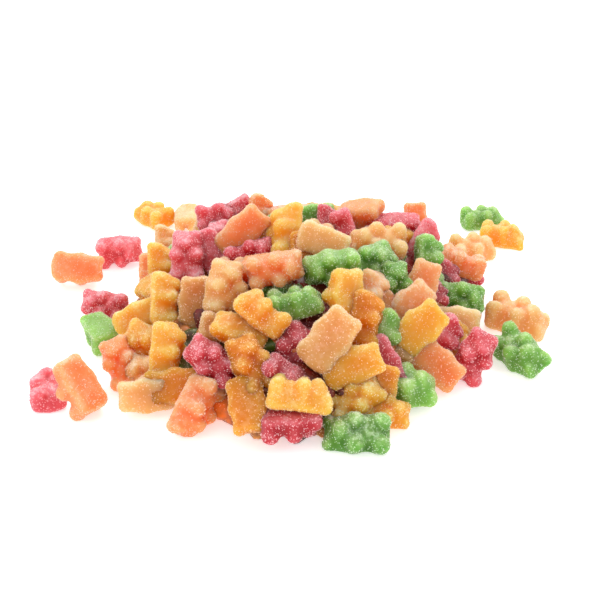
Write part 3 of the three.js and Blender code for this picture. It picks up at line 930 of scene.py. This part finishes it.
def set_bears(turns, sizes, places, seed, skin=fine_skin, tones=HEAP_TONES):
    """Points, quads, triangles, grids and what the finish needs: rim, tone, dust and shade,
    which is painted shade and grows with how deep under the mound's surface a bear lies."""
    grid, ends, normals, rims = skin
    rings, sides, _ = grid.shape
    points = np.vstack([grid.reshape(-1, 3), ends])
    outs = np.vstack([normals.reshape(-1, 3), END_WAYS])
    rim = np.concatenate([rims.ravel(), rims[[0, -1]].mean(1)])
    made = shaped(points, outs, turns, np.asarray(sizes, float), places, seed)
    made[..., 2] = np.maximum(made[..., 2], 0)
    count = len(made)
    quads, triangles = faces_of(rings, sides)
    on = len(points) * np.arange(count)[:, None, None]
    # painted shade: the deeper a bear lies under the mound's surface, the darker its jelly is
    # painted and the less frost it gets
    depth = mound_height(places[:, 0], places[:, 1]) - places[:, 2] - SHADE_FROM
    shade = np.clip(depth / SHADE_DEPTH, 0, DARKEST)
    chance = np.random.default_rng(seed + TONE_SEED)
    tone, dust = chance.uniform(*tones, count), chance.uniform(*DUST, count)
    return {
        "points": made.reshape(-1, 3),
        "quads": (quads + on).reshape(-1, 4),
        "triangles": (triangles + on).reshape(-1, 3),
        "rim": np.tile(rim, count),
        "tone": np.repeat(tone, len(points)),
        "dust": np.repeat(dust, len(points)),
        "shade": np.repeat(shade, len(points)),
        "grids": made[:, :-2].reshape(count, rings, sides, 3),
    }


def bears_piece(name, made, material):
    """The object of a set of bears, on the frame's one body."""
    faces = made["quads"].tolist() + made["triangles"].tolist()
    piece = link(name, made["points"], faces, material)
    for trait in ("rim", "tone", "dust", "shade"):
        give(piece, trait, made[trait])
    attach(piece, "root")
    return piece


# %% [markdown]
# ## The far side, the holes and the inside
#
# The far side, and the holes between the bears of the table, are filled along ovals from near
# the edge inwards. A bear is left out where one of the table already stands. Its heading turns
# by the golden angle from bear to bear, which never repeats, and its roll goes through back,
# side and belly. Deeper rows lie inside the mound and round its foot: they are the bears that
# one glimpses between the others.

# %% Rows round the mound
# a row's share of the way out, its gap in mm, and its first and last bearing in degrees
FILL_ROWS = [(0.98, 14.0, 8, 172), (0.82, 13.5, 0, 359), (0.65, 13.0, 0, 359),
             (0.48, 12.5, 0, 359), (0.31, 12.5, 0, 359), (0.12, 12.5, 0, 359)]
INNER_ROWS = [(out, 15.0, 0, 359) for out in (0.80, 0.63, 0.47, 0.31, 0.14)]
FOOT_ROWS = [(0.86, 14.5, 0, 359)]
FILL_CLEARANCE = 9
FILL_SINK, INNER_SINK, FOOT_SINK = 4, 9.5, 13.5
GOLDEN_TURN, QUARTER_TURN = 137.508, 90.0
FILL_SEED = 300


def row_places(rows, clearance):
    """Places every gap mm along each oval, but for those too near a bear of the table."""
    listed = np.array([row[1:3] for row in HEAP], float)
    found = []
    for out, gap, start, stop in rows:
        step = np.degrees(gap / (out * (HALF_WIDTH + BACK_DEPTH) / 2))
        places = np.stack(on_mound(np.radians(np.arange(start, stop, step)), out), -1)
        apart = np.linalg.norm(places[:, None] - listed, axis=-1).min(1)
        found.append(places[apart >= clearance])
    return np.concatenate(found)


def on_slope(places, sink):
    """Turns and middles of bears that follow the mound, sunk by so many mm."""
    number = np.arange(len(places))
    x, y = places.T
    turns = turns_on_slope(x, y, number * GOLDEN_TURN, (number % 4) * QUARTER_TURN)
    return turns, np.stack([x, y, mound_height(x, y) - sink], -1)


fill_turns, fill_places = on_slope(row_places(FILL_ROWS, FILL_CLEARANCE), FILL_SINK)
fill_colours = np.random.default_rng(FILL_SEED).permutation(len(fill_places)) % len(JELLY)
inner = on_slope(row_places(INNER_ROWS, 0), INNER_SINK)
foot = on_slope(row_places(FOOT_ROWS, 0), FOOT_SINK)
print("bears in the rows:", len(fill_places), "inside:", len(inner[1]), "at the foot:",
      len(foot[1]))

# %% [markdown]
# ## The heap, colour by colour
#
# Bears press into each other, and light that wanders inside one mesh would get caught on the
# skin of another bear in the same mesh, which shows as a dark blot. So each colour is dealt
# out into layers in which no two bears touch. Each layer is one object with one finish, small
# enough for a mesh file, and the sugar of the whole colour is one more.

# %% Layers that don't touch
TOUCHING = 19.0


def layers_of(places):
    """Each bear goes into the lowest layer that has no earlier bear within touching
    distance."""
    near = np.linalg.norm(places[:, None] - places, axis=-1) < TOUCHING
    layer = np.zeros(len(places), int)
    for bear in range(len(places)):
        taken = set(layer[:bear][near[bear, :bear]])
        layer[bear] = next(free for free in range(len(places)) if free not in taken)
    return layer


# %% The heap's bears and grains
HEAP_SEED, HEAP_GRAIN_SEED = 1000, 2000
COLOUR_SEEDS, SET_SEEDS = 50, 10  # set aside for a colour and for a set of bears

for index, colour in enumerate(JELLY):
    rows = np.array([row[1:] for row in HEAP if row[0] == colour], float)
    mine = fill_colours == index
    turns = np.concatenate([turns_seen(*rows[:, 3:6].T), fill_turns[mine]])
    sizes = np.concatenate([rows[:, 6], np.ones(mine.sum())])
    places = np.concatenate([rows[:, :3], fill_places[mine]])
    layers = layers_of(places)
    grids = []
    for layer in range(layers.max() + 1):
        some = layers == layer
        seed = HEAP_SEED + COLOUR_SEEDS * index + SET_SEEDS * layer
        made = set_bears(turns[some], sizes[some], places[some], seed)
        bears = bears_piece(f"{colour}_bears_{layer + 1}", made, JELLY[colour])
        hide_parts("bear_heap")
        grids.append(made["grids"])
    grains = grains_piece(colour + "_grains", colour, grids, HEAP_GRAIN_SEED + index)
    print(colour, "bears:", len(places), "layers:", layers.max() + 1, "grains:", grains)

# %% [markdown]
# ## The bears inside and at the foot
#
# Between the outer bears one sees into the heap, where the light has gone through so much
# jelly that every fruit looks darker and browner. The bears there need no wandering light, so
# they are two plain pieces whose fruits are painted darker and browner, as painted shade: one
# inside, and a lighter one at the foot, painted lighter for the bright table near it.
# A ramp with hard steps turns each bear's tone into its fruit.

# %% A finish in painted shade
# painted shade: the six fruits darker and browner, and a dark brown that clouds them
SHADED_FRUITS = [(0.26, 0.012, 0.012), (0.50, 0.11, 0.012), (0.46, 0.16, 0.012),
                 (0.07, 0.15, 0.012), (0.52, 0.17, 0.03), (0.20, 0.015, 0.010)]
PAINTED_SHADE_BROWN, SHADED_SUGAR = (0.06, 0.012, 0.004), (0.85, 0.55, 0.35)
SHADED_CLOUD_EDGE, SHADED_SPARKLE = (0.3, 0.7), 0.5


def fruit_of(tree, fruits, light):
    """The range of tones is cut into equal steps, one for each fruit."""
    ramp = node(tree, "ShaderNodeValToRGB")
    ramp.color_ramp.interpolation = "CONSTANT"
    starts = np.linspace(*HEAP_TONES, len(fruits) + 1)[:-1]
    stops = [ramp.color_ramp.elements[0]]
    stops += [ramp.color_ramp.elements.new(start) for start in starts[1:]]
    for stop, fruit in zip(stops, fruits):
        stop.color = (*(light * channel for channel in fruit), 1)
    tree.links.new(attribute(tree, "tone"), ramp.inputs[0])
    return ramp.outputs[0]


def shaded(name, fruits, light):
    """A jelly in painted shade that takes its fruit from the tone, is clouded with a painted
    dark brown, and has sugared specks; light scales its fruits and its sugar."""
    material, tree, shader = new_finish(name)
    cloud = pattern(tree, "ShaderNodeTexNoise", Scale=CLOUD_SCALE, Detail=3).outputs[0]
    share = step_between(tree, cloud, *SHADED_CLOUD_EDGE)
    body = blend(tree, share, PAINTED_SHADE_BROWN, fruit_of(tree, fruits, light))
    speck, _ = specks(tree)
    sugared = tuple(light * channel for channel in SHADED_SUGAR)
    body = blend(tree, times(tree, speck, SHADED_SPARKLE), body, sugared)
    tree.links.new(body, shader.inputs["Base Color"])
    height = arithmetic(tree, "ADD", cloud, speck)
    roughen(tree, shader, height, strength=0.4, depth=0.0003)
    set_inputs(shader, {"Roughness": 0.35})
    return material


# %% Inner bears
# painted light and shade: the foot bears are painted lighter, near the bright table, than those
# inside
INNER_LIGHT, FOOT_LIGHT = 1.0, 1.8
INNER_SEED, FOOT_SEED = 500, 559


def shaded_bears(name, turns, places, light, seed):
    """A piece of plain bears that are only seen between others."""
    made = set_bears(turns, np.ones(len(places)), places, seed, plain_skin)
    piece = bears_piece(name + "_bears", made, shaded(name + "_jelly", SHADED_FRUITS, light))
    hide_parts("bear_heap")
    print(name, "faces:", len(piece.data.polygons))


shaded_bears("inner", *inner, INNER_LIGHT, INNER_SEED)
shaded_bears("foot", *foot, FOOT_LIGHT, FOOT_SEED)

# %% [markdown]
# ## The strays
#
# A stray lies where it rolled to. It is turned as it is seen, and lowered until its lowest
# point is a little under the table, which the press then flattens to the spot it rests on.

# %% The strays
FLAT_SPOT = 0.4
STRAY_SEED, STRAY_GRAIN_SEED = 4000, 5000

stray_grids = {colour: [] for colour in JELLY}
for index, (name, row) in enumerate(STRAYS.items()):
    colour = name.split("_")[0]
    x, y, clock, lean, spin, size = row
    turn = turns_seen(*np.array([[clock], [lean], [spin]]))
    lowest = (fine_grid @ (turn[0] * size).T)[..., 2].min()
    place = np.array([(x, y, -lowest - FLAT_SPOT * size)], float)
    seed = STRAY_SEED + SET_SEEDS * index
    made = set_bears(turn, [size], place, seed, tones=STRAY_TONES)
    stray = bears_piece("loose_" + name, made, JELLY[colour])
    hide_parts("stray_" + name)
    stray_grids[colour].append(made["grids"])

for index, (colour, grids) in enumerate(stray_grids.items()):
    if grids:
        grains = grains_piece(f"loose_{colour}_grains", colour, grids, STRAY_GRAIN_SEED + index)
        print("loose", colour, "bears:", len(grids), "grains:", grains)

# %% [markdown]
# ## The core
#
# Under the bears that show lie more bears, and under those nothing can be seen at all. A dark
# dome there keeps stray light from shining right through the heap; its dark brown is painted
# shade, for the bears that would lie there in shadow.

# %% The core
CORE_SINK, CORE_LIFT = 14.0, 0.2
CORE_IN, CORE_OUT, CORE_RINGS, CORE_SIDES = 0.02, 0.62, 14, 64
CORE_LIGHT = 0.4


def dome():
    """The mound sunk by so many mm, out to a share of its edge, and a flat underside; the
    height is kept above the table."""
    out, bearing = np.meshgrid(np.linspace(CORE_IN, CORE_OUT, CORE_RINGS),
                               np.linspace(0, 2 * pi, CORE_SIDES, endpoint=False),
                               indexing="ij")
    x, y = on_mound(bearing, out)
    z = np.maximum(mound_height(x, y) - CORE_SINK, CORE_LIFT)
    top = np.stack([x, y, z], -1).reshape(-1, 3)
    under = top[-CORE_SIDES:] * (1, 1, 0)
    crown = (MOUND_X, MOUND_Y, mound_height(MOUND_X, MOUND_Y) - CORE_SINK)
    points = np.vstack([top, under, [crown, (MOUND_X, MOUND_Y, 0)]])
    quads, triangles = faces_of(CORE_RINGS + 1, CORE_SIDES)
    faces = np.flip(quads, 1).tolist() + np.flip(triangles, 1).tolist()
    return points, faces


# painted shade: the core is the orange fruit of the shaded finish at four tenths
core_shade_jelly = shaded("painted_shade_core_jelly", SHADED_FRUITS[1:2], CORE_LIGHT)
core = link("heap_core", *dome(), core_shade_jelly)
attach(core, "root")
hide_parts("bear_heap")
print("core faces:", len(core.data.polygons))

# %% [markdown]
# ## Table and light
#
# A white sweep lit from all sides gives sweets their clean look: the table is so bright that
# only the faintest shadow shows. A white world is the tent round it, a large lamp overhead
# and behind makes the jelly glow towards the eye, a weak one in front fills in the left side,
# and the table itself shines a little, as backlit acrylic does. The table lies a hair under
# the bears, so that the two don't flicker where they meet.

# %% Table
TABLE_HALF, TABLE_DROP = 3000, 0.05

table_material, _, table_shader = new_finish("white_table")
set_inputs(table_shader, {
    "Base Color": (0.93, 0.93, 0.93, 1),
    "Roughness": 0.6,
    "Emission Color": (1, 1, 1, 1),
    "Emission Strength": 0.5,
})
table_corners = np.array([(-1, -1, 0), (1, -1, 0), (1, 1, 0), (-1, 1, 0)]) * TABLE_HALF
table = link("white_table", table_corners - (0, 0, TABLE_DROP), [(0, 1, 2, 3)], table_material)
print("table in m:", 2 * TABLE_HALF * MM, "square")

# %% Light
HEAP_MIDDLE = (0, -0.015, 0.02)

world = bpy.data.worlds.new("white_tent")
bpy.context.scene.world = world
world.use_nodes = True
set_inputs(world.node_tree.nodes["Background"], {"Color": (1, 1, 1, 1), "Strength": 1.0})


def lamp(name, place, side, watts):
    """A square lamp that looks at the middle of the heap; place and side in metres."""
    light = bpy.data.lights.new(name, "AREA")
    light.shape = "SQUARE"
    light.size = side
    light.energy = watts
    made = bpy.data.objects.new(name, light)
    made.location = place
    aim = np.array(HEAP_MIDDLE) - place
    flat = np.hypot(aim[0], aim[1])
    made.rotation_euler = (np.arctan2(flat, -aim[2]), 0, np.arctan2(-aim[0], aim[1]))
    bpy.context.scene.collection.objects.link(made)


lamp("lamp_behind", (0.1, 0.7, 0.9), 0.7, 7)
lamp("lamp_front_left", (-0.6, -0.6, 0.7), 0.4, 1)
bpy.context.scene.view_settings.view_transform = "Standard"
print("lamps:", len(bpy.data.lights))
